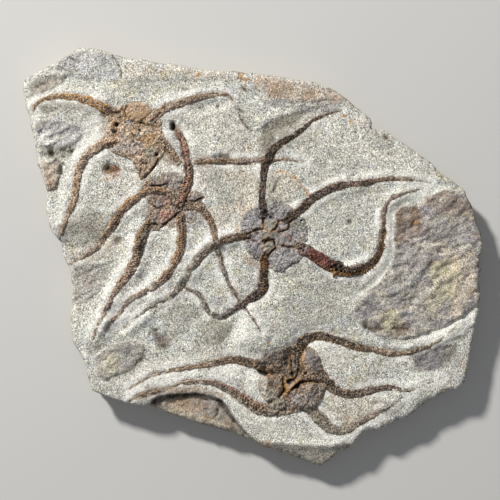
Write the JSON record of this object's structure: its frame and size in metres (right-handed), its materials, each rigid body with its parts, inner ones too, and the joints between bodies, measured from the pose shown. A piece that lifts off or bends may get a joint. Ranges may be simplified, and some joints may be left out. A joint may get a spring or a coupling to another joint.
{
  "type": "fossil starfish plate",
  "caption": "Flat slab of pale sandstone with long-armed brittle stars preserved in low relief on its upper face.",
  "frame": {"origin": "centre of the bounding box, at the level of the underside", "axes": "+X along the slab's longer side, +Y along its shorter side towards the corner star with the crumbly disc, +Z out of the fossil face"},
  "size_m": [0.2542, 0.2312, 0.0204],
  "materials": {
    "sandstone": "rough broken fine sandstone",
    "nw_star_disc": "crumbly mineral crust",
    "nw_star_arms": "matt mineral",
    "w_star_disc": "matt mineral",
    "w_star_arms": "matt mineral",
    "centre_star_disc": "matt mineral",
    "centre_star_arms": "matt mineral",
    "south_star_disc": "matt mineral",
    "south_star_arms": "matt mineral",
    "stray_arm": "matt rusty mineral"
  },
  "bodies": {
    "root": {"matrix_slab": "sandstone", "stray_arm": "stray_arm", "nw_star_disc": "nw_star_disc", "nw_star_west_arm": "nw_star_arms", "nw_star_east_arm": "nw_star_arms", "nw_star_south_west_arm": "nw_star_arms", "nw_star_south_east_arm": "nw_star_arms", "nw_star_south_arm": "nw_star_arms", "w_star_disc": "w_star_disc", "w_star_north_arm": "w_star_arms", "w_star_west_arm": "w_star_arms", "w_star_south_west_arm": "w_star_arms", "w_star_south_arm": "w_star_arms", "w_star_south_east_arm": "w_star_arms", "centre_star_disc": "centre_star_disc", "centre_star_north_arm": "centre_star_arms", "centre_star_east_arm": "centre_star_arms", "centre_star_south_east_arm": "centre_star_arms", "centre_star_south_arm": "centre_star_arms", "centre_star_west_arm": "centre_star_arms", "south_star_disc": "south_star_disc", "south_star_north_east_arm": "south_star_arms", "south_star_east_arm": "south_star_arms", "south_star_south_east_arm": "south_star_arms", "south_star_west_arm": "south_star_arms", "south_star_south_west_arm": "south_star_arms"}
  },
  "joints": []
}
